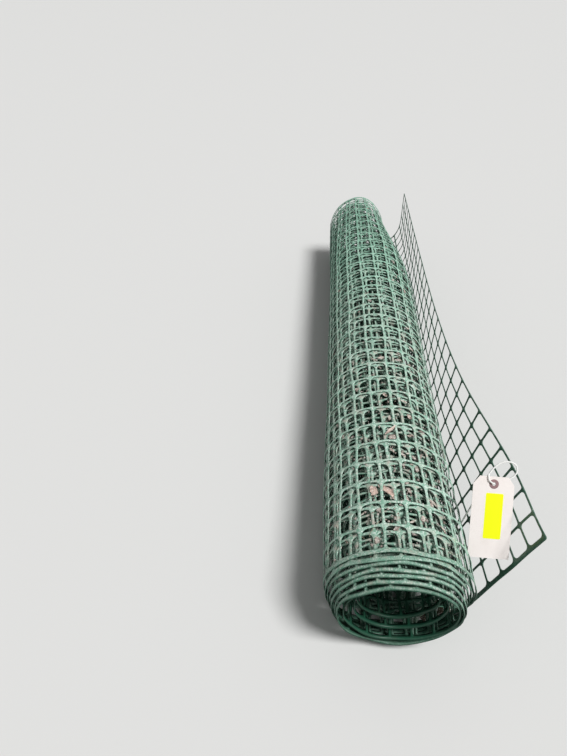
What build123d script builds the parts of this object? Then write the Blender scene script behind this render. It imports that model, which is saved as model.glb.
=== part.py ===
"""Roll of green plastic fencing mesh, lying on its side, with a tie-on card tag.

Millimetres, +Z up, +Y along the roll's axis. The origin is on the axis, halfway along the bore.
"""
from build123d import *

import math
import os

# Sheet: the flat fencing that is wound into the roll
sheet_width = 1219.0          # four feet, the height of the fence once it stands
rows = 30                     # mesh cells across that width
cell_round = 34.9             # mesh cell measured round the roll
strand_width = 4.5
strand_thick = 2.2
long_thick = 1.8              # lengthwise strands lie inside the thickness of the hoops
selvedge_width = 6.0

# Tight turns
roll_radius = 105.0
tight_turns = 7
turn_pitch = 3.15             # radial distance from one turn to the next
end_step = 7.0                # each turn stands this far out past the turn outside it
end_groove = 9.0              # how deep the gaps between the turns are open at the ends

# Loose inner turns, round the bore
bore_radius = 56.8
curl_half_turns = 4
curl_ring_angle = 335.0       # the innermost turn, up to its cut end
curl_set_back = 14.0          # of the innermost turn, from the foremost tight turn

# Free outer turn: it comes from beneath the roll and springs up beside it
free_set_back = 35.0          # from the outermost tight turn
free_strands = 7              # lengthwise strands of the free turn, from its cut edge inwards
root_reach = 10.0             # how far its hoops run on beneath the roll, past the lowest line
near_flat, near_bend, near_turn, near_length = 95.0, 42.0, 72.0, 327.0
far_flat, far_bend, far_turn, far_length = 0.0, 114.0, 91.0, 263.0
flare_rows = 6.9              # mesh rows over which it loses half of its flare
flare_power = 2.8
corner_share = 0.07           # part of the flare that only the near corner has
corner_rows = 0.8
strand_stations = (0, 1, 2, 4, 6, 8, 11, 14, 22, 30)

# Card tag
tag_length = 120.0
tag_width = 60.0
tag_thick = 0.5
tag_clip_down = 12.0          # legs of the two clipped corners
tag_clip_across = 9.0
tag_centre = (135.5, -498.1, 65.4)
tag_lean = 50.9               # angle of the card's face from the floor
tag_yaw = 2.6
tag_roll = 3.3
patch_radius = 7.0
patch_hole = 2.6
patch_thick = 0.35
patch_inset = 11.0            # from the tag's top edge to the middle of its hole
sticker_width = 25.4          # a one inch address label
sticker_length = 66.7
sticker_thick = 0.15
sticker_drop = 24.5           # from the tag's top edge to the sticker
sticker_shift = 2.3           # from the tag's middle line towards its right edge

# String
string_diameter = 2.6
string_sides = 8
string_points = [             # in the card's own plane: right, up and off its face
    (-36.5, -15.9, -20.0),
    (-24.5, 17.0, -11.2),
    (-17.0, 37.0, -6.0),
    (-11.5, 53.0, -4.0),
    (-5.5, 67.5, -2.6),
    (3.5, 79.0, -0.5),
    (17.0, 84.5, 0.5),
    (30.5, 80.0, 0.2),
    (32.5, 67.0, -1.2),
    (24.5, 58.6, -3.2),
    (14.0, 52.0, -3.0),
    (3.0, 49.0, -2.6),
]

cell_along = sheet_width / rows
floor_level = -(roll_radius + strand_thick / 2)
near_end = -sheet_width / 2 - curl_set_back
outer_near_end = near_end + (tight_turns - 1) * end_step
free_near_end = outer_near_end + free_set_back
tight_bore = roll_radius - tight_turns * turn_pitch


def smooth_share(row):
    """Share of the near section in the free turn's section at a mesh row, from 1 down to 0."""
    corner = corner_share * math.exp(-row / corner_rows)
    return (1 - corner_share) / (1 + (row / flare_rows) ** flare_power) + corner


def section_sizes(row):
    """Flat length, bend radius, turn and whole length of the free turn at a mesh row."""
    near = (near_flat, near_bend, near_turn, near_length)
    far = (far_flat, far_bend, far_turn, far_length)
    share = smooth_share(row)
    return tuple(share * a + (1 - share) * b for a, b in zip(near, far))


def section_point(row, run, lift):
    """Point of the free turn at a length along its section, lifted off its outer face."""
    flat, bend, turn, _ = section_sizes(row)
    angle = min(max((run - flat) / bend, 0.0), math.radians(turn))
    straight = max(run - flat - bend * math.radians(turn), 0.0)
    across = min(run, flat) + bend * math.sin(angle) + straight * math.cos(angle)
    up = bend * (1 - math.cos(angle)) + straight * math.sin(angle)
    return across - lift * math.sin(angle), floor_level + up + lift * math.cos(angle)


def row_place(row):
    """Place of a mesh row along the roll."""
    return free_near_end + row * cell_along


# Wound sheet: tight turns that step out towards the near end, and one solid wall behind the gaps
with BuildPart() as fencing_roll:
    with BuildSketch(Plane.XY) as wound_profile:
        for turn in range(tight_turns):
            start = near_end + turn * end_step
            outer = roll_radius - (tight_turns - 1 - turn) * turn_pitch
            middle = (outer - strand_thick / 2, start + sheet_width / 2)
            with Locations(middle):
                Rectangle(strand_thick, sheet_width)
        wall_near = outer_near_end + end_groove
        wall_far = near_end + sheet_width - end_groove
        with Locations(((tight_bore + roll_radius) / 2, (wall_near + wall_far) / 2)):
            Rectangle(roll_radius - tight_bore, wall_far - wall_near)
    revolve(axis=Axis.Y)

    # Loose inner turns: half turns that step inwards as they close in on the bore, then the last turn
    mid_bore = bore_radius + strand_thick / 2
    mid_wall = roll_radius - (tight_turns - 1) * turn_pitch - strand_thick / 2
    crossings = [
        mid_wall + (mid_bore - mid_wall) * half / curl_half_turns for half in range(curl_half_turns + 1)
    ]
    for half in range(curl_half_turns):
        side = 1 if half % 2 else -1
        half_start = near_end + curl_set_back * (half + 1) / (curl_half_turns + 1)
        with BuildSketch(Plane.XZ.offset(-half_start)) as half_turn:
            with BuildLine():
                rims = []
                for edge in (strand_thick / 2, -strand_thick / 2):
                    first, second = crossings[half] + edge, crossings[half + 1] + edge
                    top = (side * (first - second) / 2, -side * (first + second) / 2)
                    rims.append(ThreePointArc((side * first, 0), top, (-side * second, 0)))
                Line(rims[0] @ 0, rims[1] @ 0)
                Line(rims[0] @ 1, rims[1] @ 1)
            make_face()
        extrude(amount=-sheet_width)
    with BuildSketch(Plane.XZ.offset(-(near_end + curl_set_back))) as last_turn:
        with BuildLine():
            rims = [
                CenterArc((0, 0), mid_bore + edge, 180, -curl_ring_angle)
                for edge in (strand_thick / 2, -strand_thick / 2)
            ]
            Line(rims[0] @ 0, rims[1] @ 0)
            Line(rims[0] @ 1, rims[1] @ 1)
        make_face()
    extrude(amount=-sheet_width)

    # Free turn: hoops across it, then lengthwise strands skewed a little round it
    bars = []
    for row in range(rows + 1):
        width = selvedge_width if row in (0, rows) else strand_width
        flat, bend, turn, whole = section_sizes(row)
        runs = [whole - strand * cell_round for strand in range(free_strands)]
        runs = [run for run in runs if run > 0] + [-root_reach, flat + bend * math.radians(turn / 2)]
        runs.sort()
        with BuildSketch(Plane.XZ.offset(-(row_place(row) - width / 2)), mode=Mode.PRIVATE) as hoop:
            with BuildLine():
                lower = [section_point(row, run, 0) for run in runs]
                upper = [section_point(row, run, strand_thick) for run in reversed(runs)]
                Polyline(*lower, *upper, close=True)
            make_face()
        bars.append(extrude(hoop.sketch, amount=-width, mode=Mode.PRIVATE))
    for strand in range(free_strands):
        sections = []
        for row in strand_stations:
            middle = section_sizes(row)[3] - strand * cell_round
            low, high = middle - strand_width / 2, middle + strand_width / 2
            lift = (strand_thick - long_thick) / 2
            with BuildSketch(Plane.XZ.offset(-row_place(row)), mode=Mode.PRIVATE) as section:
                with BuildLine():
                    Polyline(
                        section_point(row, low, lift),
                        section_point(row, high, lift),
                        section_point(row, high, lift + long_thick),
                        section_point(row, low, lift + long_thick),
                        close=True,
                    )
                make_face()
            sections.append(section.sketch.face())
        bars.append(loft(sections, ruled=True, mode=Mode.PRIVATE))
    add(bars)

fencing_roll.part.label = "fencing_roll"

# Tag: a card that lies across the gap between the roll and its free turn
lean, yaw, roll = (math.radians(angle) for angle in (tag_lean, tag_yaw, tag_roll))
normal = Vector(math.sin(yaw) * math.sin(lean), -math.cos(yaw) * math.sin(lean), math.cos(lean))
level = Vector(math.cos(yaw), math.sin(yaw), 0)
tag_plane = Plane(
    origin=tag_centre,
    x_dir=level * math.cos(roll) - normal.cross(level) * math.sin(roll),
    z_dir=normal,
)
hole_place = (0, tag_length / 2 - patch_inset)

with BuildPart() as tag_card:
    side, top, shoulder = tag_width / 2, tag_length / 2, tag_length / 2 - tag_clip_down
    with BuildSketch(tag_plane):
        with BuildLine():
            Polyline(
                (-side, -top),
                (side, -top),
                (side, shoulder),
                (side - tag_clip_across, top),
                (tag_clip_across - side, top),
                (-side, shoulder),
                close=True,
            )
        make_face()
    extrude(amount=-tag_thick)
    with BuildSketch(tag_plane):
        with Locations(hole_place):
            Circle(patch_hole)
    extrude(amount=-tag_thick, mode=Mode.SUBTRACT)
tag_card.part.label = "tag_card"

# Patches that stiffen the tag's hole, one on each face
with BuildPart() as tag_patch:
    for face_plane in (tag_plane, tag_plane.offset(-tag_thick - patch_thick)):
        with BuildSketch(face_plane):
            with Locations(hole_place):
                Circle(patch_radius)
                Circle(patch_hole, mode=Mode.SUBTRACT)
        extrude(amount=patch_thick)
tag_patch.part.label = "tag_patch"

# Sticker on the tag, left bare
with BuildPart() as tag_sticker:
    with BuildSketch(tag_plane):
        with Locations((sticker_shift, tag_length / 2 - sticker_drop - sticker_length / 2)):
            Rectangle(sticker_width, sticker_length)
    extrude(amount=sticker_thick)
tag_sticker.part.label = "tag_sticker"

# String: from a strand of the roll, behind the card, up over its top edge and back behind it
string_route = [tag_plane.from_local_coords(point) for point in string_points]
tightest = []
for before, here, after in zip(string_route, string_route[1:], string_route[2:]):
    shorter = min((here - before).length, (after - here).length)
    half_turn = math.radians((here - before).get_angle(after - here)) / 2
    tightest.append(0.45 * shorter / math.tan(half_turn))
print("string arc radii", [round(radius, 1) for radius in tightest])

with BuildPart() as tag_string:
    with BuildLine() as string_line:
        FilletPolyline(*string_route, radius=tightest)
    with BuildSketch(Plane(origin=string_line.line @ 0, z_dir=string_line.line % 0)) as string_profile:
        RegularPolygon(string_diameter / 2, string_sides, major_radius=False)
        string_section = string_profile.sketch.area
    sweep()
tag_string.part.label = "tag_string"
string_length = sum(edge.length for edge in string_line.edges())
filled = tag_string.part.volume / (string_section * string_length)
print("string length", round(string_length, 1), "volume over section times length", round(filled, 4))

os.makedirs("parts", exist_ok=True)
for piece in (fencing_roll, tag_card, tag_patch, tag_sticker, tag_string):
    export_step(piece.part, f"parts/{piece.part.label}.step")
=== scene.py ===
"""Roll of green plastic fencing mesh with a card tag, dressed for rendering.

Metres, +Z up, +Y along the roll's axis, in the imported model's own frame. The sheet is modelled as it is made:
one flat net of welded strands, wound from its cut edge inwards by a single mapping, so every turn, the loose
inner curl and the free outer turn are the same sheet.
"""

import logging
import math
from dataclasses import dataclass
from enum import Enum
from typing import Callable

import bpy
import numpy as np
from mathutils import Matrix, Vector


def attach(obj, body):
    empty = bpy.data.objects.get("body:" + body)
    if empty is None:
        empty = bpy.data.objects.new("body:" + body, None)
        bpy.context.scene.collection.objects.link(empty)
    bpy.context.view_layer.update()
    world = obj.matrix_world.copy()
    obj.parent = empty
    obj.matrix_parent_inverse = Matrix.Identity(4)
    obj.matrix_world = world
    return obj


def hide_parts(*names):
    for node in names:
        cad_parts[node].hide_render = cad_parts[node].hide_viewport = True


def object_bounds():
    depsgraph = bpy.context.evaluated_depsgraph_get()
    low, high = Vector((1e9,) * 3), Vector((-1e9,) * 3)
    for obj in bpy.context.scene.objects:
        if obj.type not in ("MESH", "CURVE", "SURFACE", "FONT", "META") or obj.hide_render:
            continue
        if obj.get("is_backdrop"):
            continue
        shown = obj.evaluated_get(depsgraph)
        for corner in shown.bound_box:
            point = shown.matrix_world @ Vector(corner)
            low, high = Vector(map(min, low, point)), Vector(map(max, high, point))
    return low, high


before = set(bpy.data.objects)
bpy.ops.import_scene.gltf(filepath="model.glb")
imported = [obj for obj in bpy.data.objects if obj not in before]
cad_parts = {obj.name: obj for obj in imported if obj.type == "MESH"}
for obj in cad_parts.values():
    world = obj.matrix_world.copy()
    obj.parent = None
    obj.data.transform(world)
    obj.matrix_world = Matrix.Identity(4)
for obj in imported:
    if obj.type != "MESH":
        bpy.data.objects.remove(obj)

LOG = logging.getLogger("fencing_roll")
MM = 0.001
FULL_TURN = 2 * math.pi
Colour = tuple[float, float, float]
Point = tuple[float, float, float]
Flat = tuple[float, float]
Span = tuple[float, float]
ArrayPair = tuple[np.ndarray, np.ndarray]
MeshData = tuple[np.ndarray, list[list[int]]]


class Detail(Enum):
    """How finely strands are rounded: steps from crown over edge to underside, and their heights."""

    BOTH_FACES = ((0.0, 0.66, 1.0, 0.66, 0.0), (1.0, 0.72, 0.0, -0.72, -1.0))
    OUTER_FACE = ((0.0, 0.66, 1.0, 0.0), (1.0, 0.72, -0.1, -0.9))
    PLAIN = ((0.0, 1.0, 0.0), (1.0, 0.0, -1.0))


class Side(Enum):
    """Which way a strand's half lies from its node."""

    BEFORE = -1
    AFTER = 1


@dataclass(frozen=True)
class Fade:
    """A share that changes smoothly from low at start to high at end."""

    start: float
    end: float
    low: float = 0.0
    high: float = 1.0

    def at(self, value: np.ndarray) -> np.ndarray:
        """Shares at some places along the fade."""
        step = np.clip((value - self.start) / (self.end - self.start), 0.0, 1.0)
        return self.low + (self.high - self.low) * (step * step * (3.0 - 2.0 * step))


@dataclass(frozen=True)
class Wave:
    """A sine wave that runs over two directions at its own rates."""

    height: float
    first_rate: float
    second_rate: float
    start: float = 0.0

    def at(self, first: np.ndarray, second: np.ndarray) -> np.ndarray:
        """Height of the wave at some places."""
        return self.height * np.sin(self.first_rate * first + self.second_rate * second + self.start)


def summed(waves: tuple[Wave, ...], first: np.ndarray, second: np.ndarray) -> np.ndarray:
    """Height of several waves together."""
    return sum(wave.at(first, second) for wave in waves)


def turned_by(angle: float, right: np.ndarray, up: np.ndarray) -> ArrayPair:
    """Turn flat coordinates by an angle in radians."""
    sine, cosine = math.sin(angle), math.cos(angle)
    return right * cosine - up * sine, right * sine + up * cosine


def joined(parts: list[MeshData]) -> MeshData:
    """Join meshes into one.

    Args:
        parts: Points and faces of each.

    Returns:
        Points and faces of all.
    """
    faces, count = [], 0
    for points, part_faces in parts:
        faces += [[corner + count for corner in face] for face in part_faces]
        count += len(points)
    return np.concatenate([points for points, _ in parts]), faces


def mesh_object(
    name: str, points: np.ndarray, faces: list[list[int]], rounded: bool = True
) -> bpy.types.Object:
    """Make a mesh object from points and faces.

    Args:
        name: The piece's name.
        points: Points in metres, one row each.
        faces: Corner numbers of each face.
        rounded: Whether the faces are shaded smooth.

    Returns:
        The new object, linked to the scene.
    """
    mesh = bpy.data.meshes.new(name)
    mesh.from_pydata(np.asarray(points, float).tolist(), [], faces)
    mesh.validate()
    if rounded:
        mesh.polygons.foreach_set("use_smooth", [True] * len(mesh.polygons))
    mesh.update()
    piece = bpy.data.objects.new(name, mesh)
    bpy.context.scene.collection.objects.link(piece)
    return piece


def dress(piece: bpy.types.Object, material: bpy.types.Material) -> None:
    """Give a piece one material."""
    piece.data.materials.clear()
    piece.data.materials.append(material)


def store(piece: bpy.types.Object, name: str, values: np.ndarray) -> None:
    """Store a value for each point of a piece, for its finish to read."""
    layer = piece.data.attributes.new(name, "FLOAT", "POINT")
    layer.data.foreach_set("value", values.astype(np.float32))


# Shader building


class Shader:
    """A material or node group under construction, with short calls for its nodes."""

    def __init__(self, tree: bpy.types.NodeTree) -> None:
        """Start with a node tree."""
        self.tree = tree

    def add(self, kind: str, settings: dict[str, object] | None = None, **inputs: object) -> bpy.types.Node:
        """Add a node.

        Args:
            kind: Blender's node type.
            settings: Properties of the node itself.
            **inputs: Values or sockets for the node's inputs, in the way that feed takes them.

        Returns:
            The new node.
        """
        node = self.tree.nodes.new(kind)
        for name, value in (settings or {}).items():
            setattr(node, name, value)
        self.feed(node, **inputs)
        return node

    def feed(self, node: bpy.types.Node, **inputs: object) -> None:
        """Set or link a node's inputs.

        Args:
            node: The node.
            **inputs: Values or sockets, by name with spaces as underscores, or by number as n0, n1 and so on.
        """
        for name, value in inputs.items():
            numbered = name[0] == "n" and name[1:].isdigit()
            socket = node.inputs[int(name[1:])] if numbered else node.inputs[name.replace("_", " ")]
            if isinstance(value, bpy.types.NodeSocket):
                self.tree.links.new(value, socket)
            elif isinstance(value, tuple) and socket.type == "RGBA":
                socket.default_value = (*value, 1.0)
            else:
                socket.default_value = value

    def _math(self, operation: str, first: object, second: object) -> bpy.types.NodeSocket:
        """Add a clamped Math node and return its value."""
        settings = {"operation": operation, "use_clamp": True}
        return self.add("ShaderNodeMath", settings, n0=first, n1=second).outputs[0]

    def times(self, first: object, second: object) -> bpy.types.NodeSocket:
        """Multiply two values."""
        return self._math("MULTIPLY", first, second)

    def plus(self, first: object, second: object) -> bpy.types.NodeSocket:
        """Add two values, up to 1."""
        return self._math("ADD", first, second)

    def mix(self, share: object, first: object, second: object) -> bpy.types.NodeSocket:
        """Mix two colours and return the result."""
        return self.add("ShaderNodeMix", {"data_type": "RGBA"}, n0=share, n6=first, n7=second).outputs[2]

    def ramp(self, value: object, low: float, high: float) -> bpy.types.NodeSocket:
        """Spread the values from low to high over 0 to 1, smoothly."""
        settings = {"interpolation_type": "SMOOTHSTEP"}
        return self.add("ShaderNodeMapRange", settings, n0=value, n1=low, n2=high).outputs[0]

    def raised(self, mask: object, least: float) -> bpy.types.NodeSocket:
        """Raise a mask so that its darkest places are worth a least share."""
        return self.plus(self.times(mask, 1.0 - least), least)

    def noise(self, where: object, scale: object, detail: float, rough: float = 0.5) -> bpy.types.NodeSocket:
        """Add a noise texture and return its value."""
        inputs = {"Vector": where, "Scale": scale, "Detail": detail, "Roughness": rough}
        return self.add("ShaderNodeTexNoise", None, **inputs).outputs[0]

    def where(self) -> bpy.types.NodeSocket:
        """Place on the piece, in its own coordinates."""
        return self.add("ShaderNodeTexCoord").outputs["Object"]

    def stored(self, name: str) -> bpy.types.NodeSocket:
        """Value that the mesh stores under a name."""
        return self.add("ShaderNodeAttribute", {"attribute_name": name}).outputs["Fac"]


def new_group(name: str, inputs: dict[str, object], outputs: dict[str, str]) -> Shader:
    """Make an empty node group with named inputs and outputs.

    Args:
        name: The group's name.
        inputs: Each input's default: a number, or three for a colour.
        outputs: Each output's socket type.

    Returns:
        A Shader that builds in the group.
    """
    group = bpy.data.node_groups.new(name, "ShaderNodeTree")
    for label, value in inputs.items():
        coloured = isinstance(value, tuple)
        kind = "NodeSocketColor" if coloured else "NodeSocketFloat"
        socket = group.interface.new_socket(label, in_out="INPUT", socket_type=kind)
        socket.default_value = (*value, 1.0) if coloured else value
    for label, kind in outputs.items():
        group.interface.new_socket(label, in_out="OUTPUT", socket_type=kind)
    return Shader(group)


def new_material(name: str) -> tuple[bpy.types.Material, Shader, bpy.types.Node]:
    """Make a material with an empty Principled BSDF.

    Args:
        name: The material's name.

    Returns:
        The material, a Shader that builds in it, and the BSDF node.
    """
    material = bpy.data.materials.new(name)
    material.use_nodes = True
    material.node_tree.nodes.clear()
    shader = Shader(material.node_tree)
    surface = shader.add("ShaderNodeBsdfPrincipled")
    shader.add("ShaderNodeOutputMaterial", None, Surface=surface.outputs[0])
    return material, shader, surface


class Effects:
    """Node groups that several finishes share."""

    cloud_detail: float = 6.0
    cloud_roughness: float = 0.65
    cloud_ramp: Span = (0.45, 0.72)
    coarse_scale: float = 0.14
    fine_detail: float = 2.0
    coarse_detail: float = 3.0

    def __init__(self) -> None:
        """Build the groups."""
        self.grime = self._grime()
        self.grain = self._grain()

    def _grime(self) -> bpy.types.NodeTree:
        """Build the group that lays dirt in cloudy patches over a colour.

        Returns:
            The group.
        """
        inputs = {"Clean": (0.5, 0.5, 0.5), "Dirt": (0.2, 0.16, 0.1), "Scale": 30.0, "Amount": 0.3}
        shader = new_group("grime_patches", inputs, {"Color": "NodeSocketColor"})
        given = shader.add("NodeGroupInput").outputs
        cloud = shader.noise(shader.where(), given["Scale"], self.cloud_detail, self.cloud_roughness)
        mask = shader.times(shader.ramp(cloud, *self.cloud_ramp), given["Amount"])
        shader.add("NodeGroupOutput", None, Color=shader.mix(mask, given["Clean"], given["Dirt"]))
        return shader.tree

    def _grain(self) -> bpy.types.NodeTree:
        """Build the group of fine unevenness, as heights for a Bump node.

        Returns:
            The group.
        """
        inputs = {"Scale": 900.0, "Coarse Share": 0.4}
        shader = new_group("fine_grain", inputs, {"Height": "NodeSocketFloat"})
        given = shader.add("NodeGroupInput").outputs
        where, scale = shader.where(), given["Scale"]
        wider = shader.add("ShaderNodeMath", {"operation": "MULTIPLY"}, n0=scale, n1=self.coarse_scale)
        fine = shader.noise(where, scale, self.fine_detail)
        coarse = shader.noise(where, wider.outputs[0], self.coarse_detail)
        settings = {"data_type": "FLOAT"}
        mixed = shader.add("ShaderNodeMix", settings, n0=given["Coarse Share"], n2=fine, n3=coarse)
        shader.add("NodeGroupOutput", None, Height=mixed.outputs[0])
        return shader.tree

    def soiled(
        self, shader: Shader, clean: object, dirt: Colour, scale: float, amount: object
    ) -> bpy.types.NodeSocket:
        """Lay dirt over a colour.

        Args:
            shader: The material that the group is placed in.
            clean: The colour, or its socket.
            dirt: The dirt's colour.
            scale: Scale of its patches.
            amount: How much of it there is, as a number or a socket.

        Returns:
            The soiled colour.
        """
        inputs = {"Clean": clean, "Dirt": dirt, "Scale": scale, "Amount": amount}
        return shader.add("ShaderNodeGroup", {"node_tree": self.grime}, **inputs).outputs["Color"]


@dataclass(frozen=True)
class Grain:
    """Fine unevenness of a surface, with the strength and the depth in metres of its bump."""

    scale: float
    coarse_share: float
    strength: float
    depth: float

    def normal(self, shader: Shader, effects: Effects) -> bpy.types.NodeSocket:
        """Add the grain to a material.

        Args:
            shader: The material.
            effects: Shared node groups.

        Returns:
            The uneven surface's normal.
        """
        inputs = {"Scale": self.scale, "Coarse_Share": self.coarse_share}
        height = shader.add("ShaderNodeGroup", {"node_tree": effects.grain}, **inputs).outputs["Height"]
        bump = shader.add("ShaderNodeBump", None, Strength=self.strength, Distance=self.depth, Height=height)
        return bump.outputs[0]


@dataclass(frozen=True)
class NoiseMask:
    """Noise that breaks an effect up: where it ramps from none to all, and the least that it leaves."""

    scale: float
    detail: float
    low: float
    high: float
    least: float = 0.0

    def add(self, shader: Shader, where: bpy.types.NodeSocket) -> bpy.types.NodeSocket:
        """Add the mask to a material and return its value."""
        mask = shader.ramp(shader.noise(where, self.scale, self.detail), self.low, self.high)
        return shader.raised(mask, self.least) if self.least else mask


@dataclass(frozen=True)
class WeatheredPlastic:
    """Extruded green polyethylene that the sun has made chalky on its upper side; the paler upper side is
    partly painted top light.
    """

    fresh: Colour = (0.008, 0.062, 0.034)
    body: Colour = (0.045, 0.195, 0.118)
    film: Colour = (0.180, 0.410, 0.290)
    chalk: Colour = (0.78, 0.92, 0.83)
    clean_chalk: Colour = (0.54, 0.90, 0.72)
    bleach_and_glint: Colour = (0.92, 0.97, 0.92)
    dust: Colour = (0.54, 0.46, 0.40)
    soil: Colour = (0.055, 0.060, 0.040)
    facing_up: Span = (-0.25, 0.80)
    cloud: NoiseMask = NoiseMask(34.0, 3.0, 0.36, 0.62, 0.7)
    mottle: NoiseMask = NoiseMask(170.0, 4.0, 0.40, 0.60, 0.34)
    speckle: NoiseMask = NoiseMask(560.0, 3.0, 0.38, 0.60, 0.5)
    least_edge_highlight: float = 0.6
    chips_and_glints: NoiseMask = NoiseMask(430.0, 2.0, 0.55, 0.63)
    chip_and_glint_share: float = 0.75
    dusty: Span = (0.1, 0.55)
    sunned_enough: Span = (0.08, 0.5)
    dust_scale: float = 95.0
    soil_scale: float = 38.0
    soil_amount: float = 0.25
    grain: Grain = Grain(1500.0, 0.5, 0.35, 0.0004)
    smoothest: float = 0.42
    chalk_roughness: float = 0.3
    specular: float = 0.35

    def material(self, effects: Effects) -> bpy.types.Material:
        """Build the finish; the mesh's own values say where it is sun-chalked, where painted shade and painted
        edge highlights fall, and where it is dusty.

        Args:
            effects: Shared node groups.

        Returns:
            The material.
        """
        material, shader, surface = new_material("weathered_green_plastic_painted_light")
        where = shader.where()
        weather_and_light, edge, dust = (shader.stored(name) for name in ("weather_and_light", "edge", "dust"))
        normal = shader.add("ShaderNodeNewGeometry").outputs["Normal"]
        height = shader.add("ShaderNodeSeparateXYZ", None, n0=normal).outputs[2]
        # Paler towards upward faces: partly sun chalking, partly painted top light
        facing_up = shader.ramp(height, *self.facing_up)
        sunned_and_lit = shader.times(weather_and_light, facing_up)
        patchy = sunned_and_lit
        for mask in (self.cloud, self.mottle, self.speckle):
            patchy = shader.times(patchy, mask.add(shader, where))
        # Chalk strongest on the strands' sides and undersides, less on their crowns: painted highlight along
        # each strand's edge
        patchy = shader.times(patchy, shader.raised(edge, self.least_edge_highlight))
        # Dark where the stored value is low: unweathered plastic, and painted shade in the inner turns, loose
        # curl, near rims and far end
        colour = shader.mix(weather_and_light, self.fresh, self.body)
        colour = shader.mix(sunned_and_lit, colour, self.film)
        chalk = shader.mix(shader.ramp(dust, *self.dusty), self.clean_chalk, self.chalk)
        colour = shader.mix(patchy, colour, chalk)
        # Near-white flecks on the chalky faces: partly chalk chips, partly painted glints
        chips_and_glints = shader.times(sunned_and_lit, self.chips_and_glints.add(shader, where))
        colour = shader.mix(shader.times(chips_and_glints, self.chip_and_glint_share), colour, self.bleach_and_glint)
        settled = shader.times(shader.ramp(weather_and_light, *self.sunned_enough), facing_up)
        colour = effects.soiled(shader, colour, self.dust, self.dust_scale, shader.times(dust, settled))
        colour = effects.soiled(shader, colour, self.soil, self.soil_scale, self.soil_amount)
        shader.feed(
            surface,
            Base_Color=colour,
            Roughness=shader.plus(shader.times(patchy, self.chalk_roughness), self.smoothest),
            Normal=self.grain.normal(shader, effects),
            Specular_IOR_Level=self.specular,
        )
        return material


@dataclass(frozen=True)
class PlainFinish:
    """A dull finish with grime and fine grain, such as card, paper, cotton or dry grass."""

    name: str
    colour: Colour
    dirt: Colour
    dirt_scale: float
    dirt_amount: float
    grain: Grain
    roughness: float
    specular: float = 0.3

    def material(self, effects: Effects) -> bpy.types.Material:
        """Build the finish.

        Args:
            effects: Shared node groups.

        Returns:
            The material.
        """
        material, shader, surface = new_material(self.name)
        shader.feed(
            surface,
            Base_Color=effects.soiled(shader, self.colour, self.dirt, self.dirt_scale, self.dirt_amount),
            Normal=self.grain.normal(shader, effects),
            Roughness=self.roughness,
            Specular_IOR_Level=self.specular,
        )
        return material


@dataclass(frozen=True)
class LeafFinish:
    """Dead leaf, whose tone runs from pinkish tan over cream and grey to decay, with painted shade in its folds
    and painted glints.
    """

    tan: Colour = (0.76, 0.56, 0.47)
    cream: Colour = (0.60, 0.555, 0.49)
    grey: Colour = (0.38, 0.35, 0.32)
    shade: Colour = (0.24, 0.17, 0.14)
    pale: Colour = (0.90, 0.85, 0.80)
    decay: Colour = (0.13, 0.090, 0.060)
    to_cream: Span = (0.15, 0.45)
    to_grey: Span = (0.50, 0.90)
    to_decay_and_shade: Span = (0.97, 1.0)
    decayed: Span = (0.12, 0.35)
    least_decayed: float = 0.5
    fold_shade: NoiseMask = NoiseMask(330.0, 3.0, 0.45, 0.60)
    fold_shade_share: float = 0.8
    glints: NoiseMask = NoiseMask(480.0, 2.0, 0.56, 0.64)
    glint_share: float = 0.7
    decay_scale: float = 170.0
    grain: Grain = Grain(1500.0, 0.6, 0.6, 0.0005)
    roughness: float = 0.9

    def material(self, effects: Effects) -> bpy.types.Material:
        """Build the finish; the mesh's own values give its tone.

        Args:
            effects: Shared node groups.

        Returns:
            The material.
        """
        material, shader, surface = new_material("dead_leaf")
        where = shader.where()
        tone = shader.stored("tone")
        colour = shader.mix(shader.ramp(tone, *self.to_cream), self.tan, self.cream)
        colour = shader.mix(shader.ramp(tone, *self.to_grey), colour, self.grey)
        # The darkest tones take the decay colour: decay on most bits, painted shade on the dark bits at the
        # near end
        colour = shader.mix(shader.ramp(tone, *self.to_decay_and_shade), colour, self.decay)
        decayed = shader.raised(shader.ramp(tone, *self.decayed), self.least_decayed)
        # Painted shade in folds, in noise patches, more on the more decayed bits
        fold_shade = shader.times(self.fold_shade.add(shader, where), decayed)
        colour = shader.mix(shader.times(fold_shade, self.fold_shade_share), colour, self.shade)
        # Painted glints in pale flecks
        glints = shader.times(self.glints.add(shader, where), self.glint_share)
        colour = shader.mix(glints, colour, self.pale)
        shader.feed(
            surface,
            Base_Color=effects.soiled(shader, colour, self.decay, self.decay_scale, decayed),
            Normal=self.grain.normal(shader, effects),
            Roughness=self.roughness,
        )
        return material


# The sheet


@dataclass(frozen=True)
class FreeTurnSection:
    """Section of the free outer turn at one end: flat length, bend radius, turn in degrees, whole length."""

    flat: float
    bend: float
    turn: float
    length: float


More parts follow.
